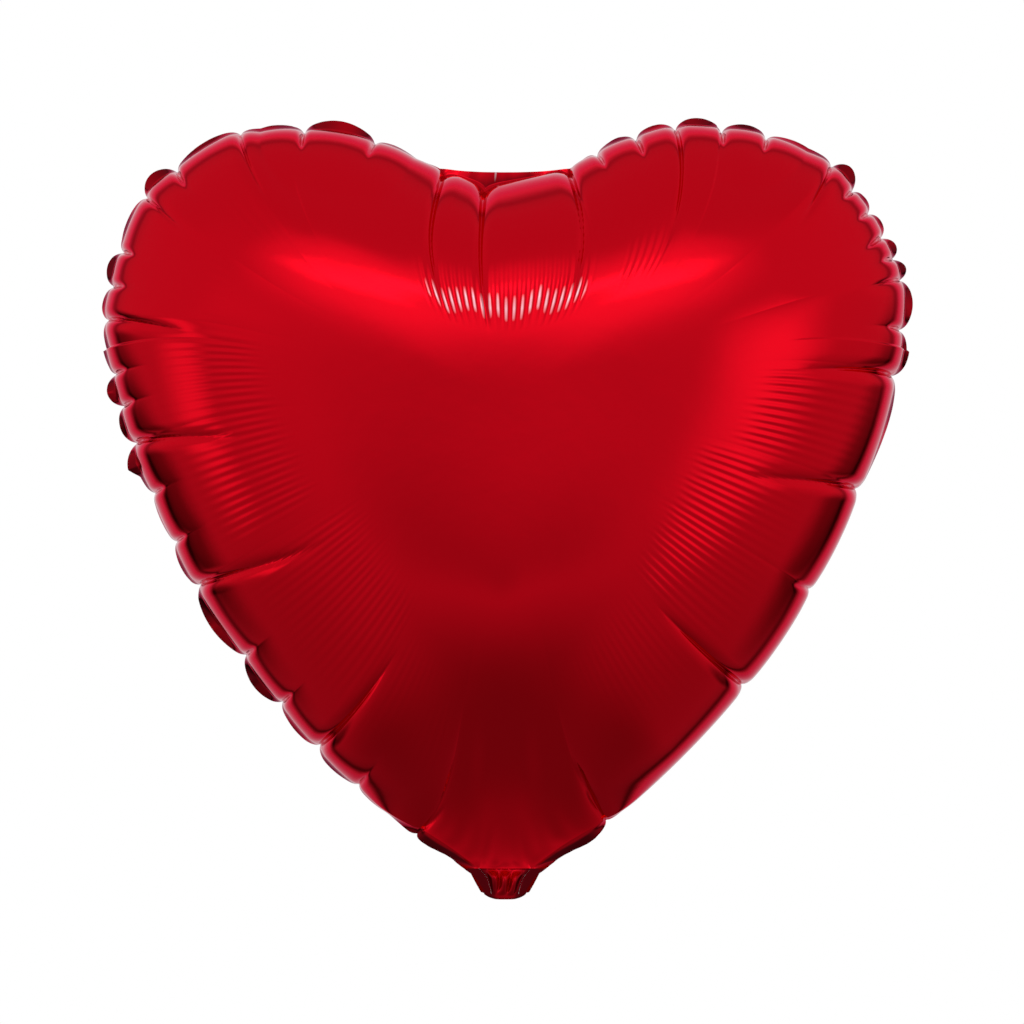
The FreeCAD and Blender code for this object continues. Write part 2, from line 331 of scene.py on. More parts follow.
def along_curve(column, row):
    """Points of the flat heart, how far in from the weld they lie, and their column's length."""
    first, second, third = column_curve(column)

    def point_at(t):
        return (
            (1 - t) ** 3 * first + 3 * (1 - t) ** 2 * t * second
            + 3 * (1 - t) * t**2 * third + t**3 * MIDDLE
        )

    length = np.zeros((CURVE_STEPS + 1, len(column)))
    before = point_at(0.0)
    for step in range(1, CURVE_STEPS + 1):
        here = point_at(step / CURVE_STEPS)
        length[step] = length[step - 1] + np.linalg.norm(here - before, axis=1)
        before = here
    total = length[-1]
    fine = FINE_REACH * (np.clip(row, 0, FINE_ROWS) / FINE_ROWS) ** ROW_CROWDING
    coarse = np.clip((row - FINE_ROWS) / (ROWS - FINE_ROWS), 0, 1)
    inward = mix(fine, total, coarse)
    after = np.clip((length < inward).sum(axis=0), 1, CURVE_STEPS)
    index = np.arange(len(column))
    lower, upper = length[after - 1, index], length[after, index]
    t = (after - 1 + (inward - lower) / (upper - lower)) / CURVE_STEPS
    return point_at(t[:, None]), inward, total


# %% [markdown]
# ## The bulge
# A foil balloon isn't round: each panel rises almost straight up at the weld and is nearly flat in
# the middle. A power curve gives that section. Near the neck the section starts flat and rises
# slowly, because there the film comes out of the narrow neck.

# %% Height of a panel
SIDE_POWER, NECK_POWER = 3.5, 2.0
SIDE_ROUND, NECK_ROUND = 0.5, 1.4
NECK_REACH = 85 * MM  # round the outline
NECK_RISE = (30 * MM, 150 * MM)  # how far up from the neck its own section fades out
NECK_SWELL = 1.3 * MM  # half the neck's inner gap
SWELL_FADE = 7 * MM  # how fast that gap stops counting above the neck


def height_of(column, along, inward, total):
    """Height of a panel above the weld's plane, before it creases."""
    near = smooth(HALF_OUTLINE - NECK_REACH, HALF_OUTLINE, np.abs(along))
    near = near * (1 - smooth(*NECK_RISE, inward))
    power = mix(SIDE_POWER, NECK_POWER, near)
    roundness = mix(SIDE_ROUND, NECK_ROUND, near)
    left = np.clip(1 - inward / total, 0, 1)
    across = np.clip((0.5 - column) / (0.5 - NECK_START), -1, 1)
    floor = (LAYER + NECK_SWELL * (1 - across**2) ** 0.7) * np.exp(-inward / SWELL_FADE)
    return floor + (BULGE - floor) * (1 - left**power) ** roundness


# %% [markdown]
# ## Creases, pillows and ripples
# Where the rim gathers, the film folds in along a crease and swells between two creases like a
# pillow, and the curve between them goes almost straight. The finest gathers are ripples about
# four millimetres apart, and wider in the cleft. All are pushed along the surface's own direction.

# %% Where the creases and the ripples are
# Each crease, in millimetres: its place, its reach inwards, its drift away from the cleft, its depth.
CREASES = (
    (-557, 16, 3, 1.6), (-493, 62, 3, 2.4), (-395, 65, 15, 2.6), (-319, 52, 10, 2.4),
    (-257, 42, 7, 2.2), (-192, 31, 3, 1.8), (-135, 43, -1, 2.0), (-28, 68, -12, 2.6),
    (-9, 78, -6, 2.2), (30, 68, -14, 2.4), (88, 61, 0, 2.2), (170, 38, 8, 2.4),
    (237, 20, 2, 1.8), (285, 48, 4, 2.6), (343, 55, 12, 2.8), (397, 11, 3, 1.2),
    (454, 59, 1, 2.8), (548, 35, -2, 2.2),
)
# Short creases close to the weld, given in the same way.
NOTCHES = (
    (-520, 8, 0, 1.4), (-465, 9, 0, 1.5), (-436, 8, 0, 1.4), (-371, 8, 0, 1.5), (-345, 8, 0, 1.5),
    (-300, 8, 0, 1.7), (-284, 8, 0, 1.5), (-240, 9, 0, 2.0), (-222, 9, 0, 2.0),
    (-172, 14, 2, 2.1), (-103, 12, 0, 2.2), (-67, 10, 0, 1.5), (47, 9, 0, 1.7), (68, 12, 0, 2.2),
    (111, 10, 0, 1.8), (134, 10, 0, 2.1), (186, 9, 0, 2.0), (200, 9, 0, 1.8), (214, 14, 3, 2.1),
    (226, 8, 0, 1.7), (262, 9, 0, 1.7),
)
pinch_places = np.array(sorted(
    [-HALF_OUTLINE, HALF_OUTLINE] + [item[0] * MM for item in CREASES + NOTCHES]
))
VALLEY_HALF_WIDTH = 7 * MM
GROOVE_DEPTH = 1.5 * MM
GROOVE_WIDTH = 0.8 * MM
PILLOW = 1.6 * MM
SCALLOP = 1.4 * MM  # between any two pinches, close to the weld only
STRAIGHTENING = 0.75  # how much of the curve between two creases goes straight
PILLOW_SPAN, SCALLOP_SPAN = 60 * MM, 22 * MM  # a shorter stretch swells less
PILLOW_FADE, SCALLOP_FADE = (30 * MM, 82 * MM), (18 * MM, 50 * MM)  # heights where they die out
STRAIGHT_FADE = (8 * MM, 60 * MM)  # the same for the straightening, inwards from the weld
LONG_CREASE = 18  # millimetres of reach; a shorter one is narrower too
QUIET_BY_NECK = 22 * MM  # no creases this close to the neck, round the outline
UNEVEN, UNEVEN_SPAN = 0.3 * MM, 120 * MM  # broad unevenness of the whole panel
FAN_PITCH, FAN_HEIGHT = 11, 0.6 * MM  # the fan of folds above the neck; its pitch is in columns

# Ripples: from, to, nearest and farthest from the weld, all in millimetres, and their strength.
RIPPLES = (
    (-28, 30, 26, 68, 1.9), (56, 90, 30, 66, 0.7), (-165, -130, 26, 54, 0.4),
    (-250, -198, 20, 52, 0.35), (-385, -264, 22, 64, 0.8), (-490, -402, 26, 80, 0.7),
    (-548, -500, 22, 66, 0.4), (290, 340, 12, 58, 0.85), (348, 450, 26, 72, 0.7),
    (462, 530, 25, 68, 0.35),
)
RIPPLE_PITCH = 4.1 * MM
RIPPLE_HEIGHT = 0.1 * MM
SHARE_DEPTH = 50 * MM  # where the columns' inner widths are measured
RIPPLE_SHARES = (1.5,) + COLUMN_SHARE_INSIDE[1:]  # ripples in the cleft are wider apart
ring_inside = np.concatenate(
    ([0.0], np.cumsum([length * share for length, share in zip(arc_lengths, RIPPLE_SHARES)]))
)
arc_middles = (ARC_STARTS[:-1] + ARC_STARTS[1:]) / 2


def share_inside(along):
    """Width of a column deep in the folds, as a share of its width at the weld."""
    return np.interp(np.abs(along), arc_middles, COLUMN_SHARE_INSIDE)


def creases_of(facing):
    """The long creases of one panel: both panels share their places, but not how far they reach."""
    if facing < 0:
        return CREASES
    reaches = [reach for _, reach, _, _ in CREASES]
    turned = reaches[7:] + reaches[:7]
    return tuple(
        (place, mix(reach, other, 0.6), -drift / 2, depth)
        for (place, reach, drift, depth), other in zip(CREASES, turned)
    )


# %% [markdown]
# Every fold is a formula of two lengths: the place round the weld and the distance in from it. A
# displacement texture could do this too, but formulas put each crease at its own place and depth.

# %% Relief of a panel
def crease_relief(along, inward, height, facing):
    """The creases: each a wide shallow valley with a sharp narrow groove in its middle."""
    relief = np.zeros_like(along)
    for place, reach, drift, depth in creases_of(facing) + NOTCHES:
        share = float(share_inside(place * MM))
        widening = mix(1, share, np.minimum(inward / SHARE_DEPTH, 1.2))
        side = -1 if place < 0 else 1
        progress = np.minimum(inward / (reach * MM), 1.2)
        centre = (place + side * drift * progress / widening) * MM
        aside = np.abs(along - centre) * widening
        long_crease = reach > LONG_CREASE
        half_width = VALLEY_HALF_WIDTH * (1.0 if long_crease else 0.6)
        valley = np.clip(1 - aside / half_width, 0, 1) ** 2 * np.clip(1 - progress, 0, 1)
        groove = np.exp(-aside / GROOVE_WIDTH) * (1 - smooth(0.55, 1.0, progress))
        groove = groove * GROOVE_DEPTH * min(depth / 2.2, 1)
        entry = mix(0.45, 1.0, smooth(0, 12 * MM, height))
        relief -= (depth * MM * valley + groove) * entry
    return relief


def pillow_relief(along, inward, height, curvature):
    """Swelling between creases, and the straightening of the curve between them."""
    places = np.array([-HALF_OUTLINE] + [crease[0] * MM for crease in CREASES] + [HALF_OUTLINE])
    index = np.clip(np.searchsorted(places, along), 1, len(places) - 1)
    before, after = places[index - 1], places[index]
    span = after - before
    share = np.clip((along - before) / span, 0, 1)
    swell = np.minimum(4 * share * (1 - share), 1) ** 0.55
    size = PILLOW * np.minimum(span / PILLOW_SPAN, 1)
    size = size * mix(0.4, 1, smooth(-1, 1, curvature * 50 * MM))
    rise = 1 - smooth(*PILLOW_FADE, height)
    sag = curvature * (along - before) * (after - along) / 2
    straight = STRAIGHTENING * sag * (1 - smooth(*STRAIGHT_FADE, inward))
    index = np.clip(np.searchsorted(pinch_places, along), 1, len(pinch_places) - 1)
    before, after = pinch_places[index - 1], pinch_places[index]
    share = np.clip((along - before) / (after - before), 0, 1)
    scallop = SCALLOP * (4 * share * (1 - share)) ** 0.6
    scallop = scallop * np.minimum((after - before) / SCALLOP_SPAN, 1)
    scallop = scallop * (1 - smooth(*SCALLOP_FADE, height))
    return size * swell * rise + scallop - np.clip(straight, -3.5 * MM, 4 * MM)


def ripple_relief(along, inward, facing):
    """The ripples, and how much painted highlight each point gets near the crests' inner ends."""
    ring = np.sign(along) * np.interp(np.abs(along), ARC_STARTS, ring_inside)
    wave = np.sin(2 * math.pi * ring / RIPPLE_PITCH + 0.9 * wander(along, 70 * MM, 11))
    relief = np.zeros_like(along)
    painted_highlight = np.zeros_like(along)
    for start, end, near, far, strength in RIPPLES:
        if facing > 0:
            start, end = -end, -start
        patch = smooth((start - 5) * MM, (start + 5) * MM, along)
        patch = patch * (1 - smooth((end - 5) * MM, (end + 5) * MM, along))
        ragged = far * MM + 3 * MM * wander(along, 21 * MM, 5)
        growth = 0.25 + 0.75 * smooth(near * MM, ragged, inward)
        reach = smooth((near - 8) * MM, (near + 8) * MM, inward)
        reach = reach * (1 - smooth(ragged - 2 * MM, ragged + 7 * MM, inward))
        here = strength * patch * reach
        relief += here * growth * RIPPLE_HEIGHT * wave
        # Painted highlight on the crests near the ripples' inner ends.
        tip = smooth(ragged - 20 * MM, ragged - 3 * MM, inward)
        painted_highlight += here * tip * smooth(-0.3, 0.7, wave)
    return relief, painted_highlight


def relief_of(column, along, inward, height, curvature, point, facing):
    """How far each point is pushed out of the smooth bulge."""
    quiet = 1 - smooth(HALF_OUTLINE - QUIET_BY_NECK, HALF_OUTLINE, np.abs(along))
    relief = crease_relief(along, inward, height, facing) * quiet
    relief += pillow_relief(along, inward, height, curvature) * quiet
    ripples, painted_highlight = ripple_relief(along, inward, facing)
    relief += ripples
    uneven = UNEVEN * wander_over(point[:, 0], point[:, 1], UNEVEN_SPAN, 31 + facing)
    relief += uneven * smooth(0, 40 * MM, inward)
    fan = (column - 0.5) * COARSE_COLUMNS * 2 ** len(LAST_ROW_OF_DIVISION) / FAN_PITCH
    fan_reach = smooth(0, 5 * MM, inward) * (1 - smooth(5 * MM, 26 * MM, inward)) ** 1.5
    fan_reach = fan_reach * (1 - smooth(4, 11, np.abs(fan)))
    relief += FAN_HEIGHT * wander(fan, 4.6, 8 + facing) * fan_reach
    return relief, painted_highlight


# %% [markdown]
# ## The welded edge
# Outside the weld the two films go on for a few millimetres as one flat fin. The pull of the
# panels folds it back behind the front panel. Its cut edge keeps its full length, so it flutes:
# in short stretches it stands up and shows past the front panel as a thin crescent.

# %% Lean of the fin
WING_LEAN = math.radians(42)  # the fin beside the neck leans back
CLEFT_EDGE = 9.0 * MM  # the fin's edge is pulled straight across the cleft, this far above the weld
CLEFT_ROUNDING = 62 * MM  # how gently that edge comes down to the weld on each side
CLEFT_STRIP = (30 * MM, 40 * MM)  # where that strip ends, round the outline
FULL_ARCH_SPAN = 17 * MM  # a shorter stretch arches less
WING_START, WING_FULL = 48 * MM, 22 * MM  # before the neck, round the outline
NECK_MEETING = 12 * MM  # the wing joins the neck over this length
FIN_HIDDEN = 0.6 * MM  # how far a folded-back fin still stands out
# How far the fin arches out between two notches, in millimetres, from one place to the next.
ARCH_PLACES = (-586, -540, -500, -400, -390, -335, -330, -284, -280, -135, -120, -70, -45,
               0, 40, 60, 150, 260, 300, 345, 360, 586)
ARCH_HEIGHTS = (0, 0, 4.2, 4.2, 1.5, 1.5, 5.4, 5.4, 3.6, 4.8, 5.2, 4.2, 0,
                0, 0, 4.8, 5.2, 4.8, 4.2, 0, 0, 0)


def fin_points(along, row):
    """Points of the fin: how far outwards, and how far to the back."""
    share = -row / FIN_ROWS
    distance = np.abs(along)
    index = np.clip(np.searchsorted(pinch_places, along), 1, len(pinch_places) - 1)
    before, after = pinch_places[index - 1], pinch_places[index]
    place = np.clip((along - before) / (after - before), 0, 1)
    lively = 0.75 + 0.35 * np.sin(91.0 * before / MM)  # no two arches are as high
    arch = np.sin(math.pi * place) ** 0.7 * lively
    arch = arch * np.interp(along / MM, ARCH_PLACES, ARCH_HEIGHTS) * MM
    arch = arch * np.minimum((after - before) / FULL_ARCH_SPAN, 1)
    width = mix(FIN_WIDTH, NECK_SEAL, smooth(HALF_OUTLINE - 2 * NECK_BLEND, HALF_OUTLINE, distance))
    width = width + 0.2 * MM * wander(along, 13 * MM, 21)
    bent = np.clip(FIN_HIDDEN + arch, 0, 0.97 * width)
    flat = 1 - smooth(*CLEFT_STRIP, distance)
    wing = smooth(HALF_OUTLINE - WING_START, HALF_OUTLINE - WING_FULL, distance)
    meeting = smooth(HALF_OUTLINE - NECK_MEETING, HALF_OUTLINE, distance)
    straight_edge = np.maximum(CLEFT_EDGE - distance**2 / (2 * CLEFT_ROUNDING), FIN_HIDDEN)
    out = mix(bent, straight_edge, flat)
    out = mix(out, width * mix(math.cos(WING_LEAN), 1, meeting), wing)
    back = np.sqrt(np.maximum(width**2 - out**2, 0)) * (1 - 0.9 * flat)
    flutter = 0.2 * MM * wander(along, 17 * MM, 9) * flat
    return out * share, back * share**0.8 + flutter * share


def fin_follows(along, inward):
    """Share of the weld's pinches that the fin takes up: its taut edge in the cleft has none."""
    out = np.clip(-inward / FIN_WIDTH, 0, 1)
    return 1 - out * (1 - smooth(*CLEFT_STRIP, np.abs(along)))


# %% [markdown]
# ## Neck and tail
# Below the heart the same film is gathered in at the tie point and folds there, and the tail tab
# goes up again behind the neck. A strip of grid follows that path: straight down, round the fold
# with a tight radius, and up and back. The front film is the outer one in the fold.

# %% Path of the strip
FOLD_RADIUS = 1.2 * MM
FOLD_HEIGHT = 0.2 * MM  # height of the fold's centre
FOLD_TURN = math.radians(130)
TAIL_LENGTH = 36 * MM
TAIL_ROUNDING = 4.5 * MM  # how far the tail's corners are cut back
NECK_ROWS, FOLD_ROWS, TAIL_ROWS = 24, 8, 40
NECK_LENGTH = NECK_CORNER[1] - FOLD_HEIGHT
strip_columns = NECK_COLUMNS + 2 * FIN_ROWS
path_marks = np.concatenate((
    np.linspace(0, NECK_LENGTH, NECK_ROWS + 1),
    NECK_LENGTH + np.linspace(0, FOLD_RADIUS * FOLD_TURN, FOLD_ROWS + 1)[1:],
    NECK_LENGTH + FOLD_RADIUS * FOLD_TURN + np.linspace(0, TAIL_LENGTH, TAIL_ROWS + 1)[1:],
))

CRUMPLE, CRUMPLE_SPAN = 3.2 * MM, 10 * MM  # of the gathered neck
FILMS_APART = 0.12 * MM
TAIL_SWELL = 0.5 * MM  # half the gap at the tail's open end
CORNER_LIFT = 2.4 * MM  # the fold's ends are drawn up
PLEAT, WAVE = 0.45 * MM, 0.5 * MM  # of the tail: pleats from the tie, and slow waves

# Half the strip's width at lengths down the path, in millimetres.
WIDTH_AT = (0, 2, 5, 9, 13, 16, 20, 27, 36, 60)
HALF_WIDTHS = (20, 17.0, 13.6, 11.8, 10.4, 9.8, 11.4, 14.2, 17.5, 19)


def strip_width(travel):
    """Half the width of the strip, from a smoothed list of widths."""
    width = np.zeros_like(travel)
    for shift in (-1.5, -0.5, 0.5, 1.5):
        width += np.interp(travel / MM + shift, WIDTH_AT, HALF_WIDTHS) / 4
    lead = 1 - smooth(0, 3 * MM, travel)
    return mix(width * MM, NECK_CORNER[0] - 1.1 * travel, lead)


def strip_points(x, travel, facing):
    """Points of the neck and tail. x is the place across the neck's line."""
    across = x / NECK_CORNER[0]
    inner = np.clip(1 - np.abs(x) / (NECK_CORNER[0] - NECK_SEAL), 0, 1)
    half = strip_width(travel)
    end_of_tail = travel - NECK_LENGTH - FOLD_RADIUS * FOLD_TURN
    rounding = TAIL_ROUNDING * np.abs(across) ** 12 * smooth(0.5, 1, end_of_tail / TAIL_LENGTH)
    reach = travel - rounding
    turn = np.clip((reach - NECK_LENGTH) / FOLD_RADIUS, 0, FOLD_TURN)
    beyond = np.maximum(reach - NECK_LENGTH - FOLD_RADIUS * FOLD_TURN, 0)
    down = np.minimum(reach, NECK_LENGTH)
    y = FOLD_RADIUS * (1 - np.cos(turn)) + beyond * math.sin(FOLD_TURN)
    z = NECK_CORNER[1] - down - FOLD_RADIUS * np.sin(turn) - beyond * math.cos(FOLD_TURN)
    near_fold = smooth(NECK_LENGTH - 8 * MM, NECK_LENGTH, travel) * (1 - smooth(0, 5 * MM, beyond))
    z = z + CORNER_LIFT * np.abs(across) ** 3.5 * near_fold
    face_y, face_z = -np.cos(turn), -np.sin(turn)

    seal = smooth(0, 0.25, inner)
    in_fold = smooth(NECK_LENGTH - 3 * MM, NECK_LENGTH, travel) * (1 - smooth(0, 3 * MM, beyond))
    lens = NECK_SWELL * np.clip(1 - (np.abs(x) / (NECK_CORNER[0] - NECK_SEAL)) ** 2, 0, 1) ** 0.7
    neck_gap = lens * (1 - smooth(NECK_LENGTH - 9 * MM, NECK_LENGTH, travel))
    tail_gap = TAIL_SWELL * seal * smooth(0.3, 1, beyond / TAIL_LENGTH)
    crumple = CRUMPLE * np.abs(wander_over(x, travel, CRUMPLE_SPAN, 40 + facing)) ** 0.8
    crumple = crumple * smooth(0, 4 * MM, travel) * (1 - smooth(-1 * MM, 4 * MM, beyond))
    crumple = crumple * seal * (1 - in_fold)  # the weld down each side keeps the films together
    apart = LAYER + FILMS_APART * seal * smooth(0, 3 * MM, travel)
    lift = apart + neck_gap + tail_gap + crumple
    pleats = PLEAT * wander(across, 0.55, 51) * np.exp(-beyond / (11 * MM))
    pleats = pleats * smooth(0, 5 * MM, beyond)
    pleats = pleats + WAVE * wander_over(x, travel, 34 * MM, 52) * smooth(0, 20 * MM, beyond)
    offset = np.where(facing < 0, lift, -lift) + pleats
    return across * half, y + face_y * offset, z + face_z * offset


# %% [markdown]
# ## Bending the grids into a sheet
# Each vertex keeps its place round the outline and its distance in from the weld as attributes,
# which the relief and the finish both read. The edges of the grids that meet are merged: at the
# cleft, along the neck's line and at the middle of the bulge.

# %% Build one sheet
def strip_grid(bm, facing):
    """Adds the neck and tail to the sheet, with its first row on the neck's line."""
    made = bmesh.ops.create_grid(
        bm, x_segments=strip_columns, y_segments=len(path_marks) - 1, size=0.5
    )
    verts = made["verts"]
    neck_half = NECK_CORNER[0] - NECK_SEAL
    steps = np.array([round((vert.co.x + 0.5) * strip_columns) for vert in verts])
    rows = np.array([round((0.5 - vert.co.y) * (len(path_marks) - 1)) for vert in verts])
    inner = np.clip((steps - FIN_ROWS) / NECK_COLUMNS, 0, 1)
    x = mix(-neck_half, neck_half, inner)
    x = x - NECK_SEAL * np.clip(1 - steps / FIN_ROWS, 0, 1)
    x = x + NECK_SEAL * np.clip(1 - (strip_columns - steps) / FIN_ROWS, 0, 1)
    travel = path_marks[rows]
    px, py, pz = strip_points(x, travel, facing)
    return verts, rows, np.stack((px, py, pz), axis=1), np.stack((x, travel), axis=1)


PANEL_EVENING, EVENING_GROWS = 240, (2 * MM, 95 * MM)  # samples averaged, and how far in


def even_panel():
    """Points of every column and row of a panel. Deep rows are evened out, so no corner of the
    outline draws a ridge across the bulge."""
    along = place_of_column(even_columns)
    table = np.zeros((ROWS + 1, EVEN_SAMPLES, 3))
    for row in range(ROWS + 1):
        point, inward, total = along_curve(even_columns, np.full(EVEN_SAMPLES, float(row)))
        table[row, :, :2] = point
        table[row, :, 2] = height_of(even_columns, along, inward, total)
        reach = int(PANEL_EVENING * smooth(*EVENING_GROWS, inward[0]))
        if reach > 0:
            table[row] = evened(table[row], reach)
    return table


panel_table = even_panel()
print(f"panel: {panel_table[..., 2].max() / MM:.1f} mm high at most")
MIDDLE_VECTOR = Vector(MIDDLE)


def panel_points(column, row, facing):
    """Points of a smooth panel and its fin, and what the relief needs to know about them."""
    along = place_of_column(column)
    _, inward, _ = along_curve(column, row)
    index = np.round(column * EVEN_SAMPLES).astype(int) % EVEN_SAMPLES
    place = panel_table[np.maximum(row, 0).astype(int), index]
    point, height = place[:, :2], place[:, 2]
    _, out, _, _, _ = weld_line(along)
    sideways, back = fin_points(along, np.minimum(row, 0))
    co = np.zeros((len(column), 3))
    co[:, 0] = point[:, 0] + out[:, 0] * sideways
    co[:, 2] = point[:, 1] + out[:, 1] * sideways
    co[:, 1] = facing * height + back
    inward = inward + np.minimum(row, 0) / FIN_ROWS * FIN_WIDTH
    return co, along, inward, height


def build_sheet(name, facing):
    """One film sheet: a panel, its half of the weld, and its layer of the neck and tail."""
    bm = bmesh.new()
    words = ("along", "inward", "rise", "part", "column")
    layers = [bm.verts.layers.float.new(word) for word in words]
    flat_grid(bm)
    verts = list(bm.verts)
    column = np.array([vert.co.x for vert in verts])
    row = np.array([vert.co.y for vert in verts])
    co, along, inward, height = panel_points(column, row, facing)
    for vert, place in zip(verts, co):
        vert.co = place
    ends = [vert for vert, x in zip(verts, column) if x in (0, 1)]
    neck_line = [
        vert for vert, x, y in zip(verts, column, row)
        if (y == 0 and NECK_START <= x <= 1 - NECK_START)
        or (y < 0 and x in (NECK_START, 1 - NECK_START))
    ]
    pole = [vert for vert, y in zip(verts, row) if y == ROWS]

    part = np.where(row < 0, PART_FIN, PART_PANEL)
    for vert, *values in zip(verts, along, inward, height, part, column):
        for layer, value in zip(layers, values):
            vert[layer] = value

    strip, rows, strip_co, flat = strip_grid(bm, facing)
    for vert, place, (x, travel) in zip(strip, strip_co, flat):
        vert.co = place
        vert[layers[0]] = x
        vert[layers[1]] = travel
        vert[layers[3]] = PART_STRIP
    first_row = [vert for vert, step in zip(strip, rows) if step == 0]

    gap = max(
        min((vert.co - other.co).length for other in first_row) for vert in neck_line
    )
    print(f"{name}: the neck's line and the strip are {gap / MM:.4f} mm apart before they merge")
    bmesh.ops.remove_doubles(bm, verts=neck_line + first_row, dist=0.02 * MM)
    bmesh.ops.remove_doubles(bm, verts=[vert for vert in ends if vert.is_valid], dist=0.001 * MM)
    bmesh.ops.pointmerge(bm, verts=[vert for vert in pole if vert.is_valid],
                         merge_co=(MIDDLE[0], facing * BULGE, MIDDLE[1]))
    middle_face = min(
        bm.faces, key=lambda face: (face.calc_center_median().xz - MIDDLE_VECTOR).length
    )
    middle_face.normal_update()
    if middle_face.normal.y * facing < 0:
        bmesh.ops.reverse_faces(bm, faces=bm.faces)
    mesh = bpy.data.meshes.new(name)
    bm.to_mesh(mesh)
    bm.free()
    mesh.shade_smooth()
    sheet = bpy.data.objects.new(name, mesh)
    bpy.context.scene.collection.objects.link(sheet)
    return sheet


# %% [markdown]
# The folds are pushed in along the smooth sheet's own normals, so they stand square to the film
# everywhere. Two attributes are left for the finish: a painted highlight near the ripples' crests and
# on the taut edge across the cleft, and painted shade on the weld, the neck and the tail.

# %% Push the folds into the sheet
def read_attribute(mesh, name):
    """One value for each point of a mesh, from a named attribute."""
    values = np.zeros(len(mesh.vertices), dtype=np.float32)
    mesh.attributes[name].data.foreach_get("value", values)
    return values.astype(float)


def crease_sheet(sheet, facing):
    """Moves a smooth sheet's points along its own surface directions."""
    mesh = sheet.data
    count = len(mesh.vertices)
    co = np.zeros(count * 3, dtype=np.float32)
    normal = np.zeros(count * 3, dtype=np.float32)
    mesh.vertices.foreach_get("co", co)
    mesh.vertex_normals.foreach_get("vector", normal)
    co, normal = co.reshape(-1, 3).astype(float), normal.reshape(-1, 3).astype(float)
    column, along, inward, height, part = (
        read_attribute(mesh, word) for word in ("column", "along", "inward", "rise", "part")
    )
    on_panel = part < PART_STRIP
    along = np.where(on_panel, along, 0)
    _, out, _, curvature, _ = weld_line(along)
    at_weld = on_panel & (inward <= 0)
    flat_out = np.stack((out[:, 0], np.zeros(count), out[:, 1]), axis=1)
    normal[at_weld] = flat_out[at_weld]
    relief, painted_highlight = relief_of(
        column, along, np.maximum(inward, 0), height, curvature, co[:, (0, 2)], facing
    )
    relief *= fin_follows(along, inward)
    # Painted highlights: small bright spots on the taut edge across the cleft.
    painted_glint = smooth(0.75, 1.0, wander(along, 9 * MM, 61)) * (1 - fin_follows(along, inward))
    painted_highlight += 3.0 * painted_glint
    # Painted shade on the welded edge, neck and tail, darker towards the sides of the neck and tail.
    painted_shade = smooth(0.2 * MM, 1.6 * MM, -inward) * fin_follows(along, inward)
    painted_shade *= 0.8 + 0.5 * wander(along, 57 * MM, 71)
    across = np.abs(read_attribute(mesh, "along"))
    painted_shade = np.where(on_panel, painted_shade, mix(0.35, 1.0, smooth(5 * MM, 13 * MM, across)))
    painted_shade_layer = mesh.attributes.new("painted_shade", "FLOAT", "POINT")
    painted_shade_layer.data.foreach_set("value", np.clip(painted_shade, 0, 1).astype(np.float32))
    # The painted highlight goes to the material as an attribute.
    gloss = mesh.attributes.new("painted_highlight", "FLOAT", "POINT")
    gloss.data.foreach_set("value", np.where(on_panel, painted_highlight, 0).astype(np.float32))
    co += normal * np.where(on_panel, relief, 0)[:, None]
    mesh.vertices.foreach_set("co", co.astype(np.float32).ravel())
    mesh.update()
    print(f"{sheet.name}: {count} points, relief {relief.min() / MM:.2f} to {relief.max() / MM:.2f} mm")


front_sheet = build_sheet("front_film", -1)
crease_sheet(front_sheet, -1)
rear_sheet = build_sheet("rear_film", 1)
crease_sheet(rear_sheet, 1)


# %% [markdown]
# ## Finishes
# One function turns a hex colour to linear, and one adds a node with its settings and links.

# %% Helpers for materials
def linear(hex_colour):
    """An sRGB hex colour as linear red, green and blue, with an alpha of 1."""
    parts = [int(hex_colour[i:i + 2], 16) / 255 for i in (1, 3, 5)]
    return tuple(
        part / 12.92 if part <= 0.04045 else ((part + 0.055) / 1.055) ** 2.4 for part in parts
    ) + (1.0,)


def add(tree, kind, inputs=(), **settings):
    """Adds a node. inputs gives sockets their values, or links them where the value is a socket."""
    node = tree.nodes.new(kind)
    for name, value in settings.items():
        setattr(node, name, value)
    for name, value in dict(inputs).items():
        if isinstance(value, bpy.types.NodeSocket):
            tree.links.new(value, node.inputs[name])
        else:
            node.inputs[name].default_value = value
    return node


def new_material(name):
    """An empty node material, and its tree."""
    material = bpy.data.materials.new(name)
    material.use_nodes = True
    material.node_tree.nodes.clear()
    return material, material.node_tree


def finish_material(tree, shader):
    add(tree, "ShaderNodeOutputMaterial", {"Surface": shader.outputs[0]})
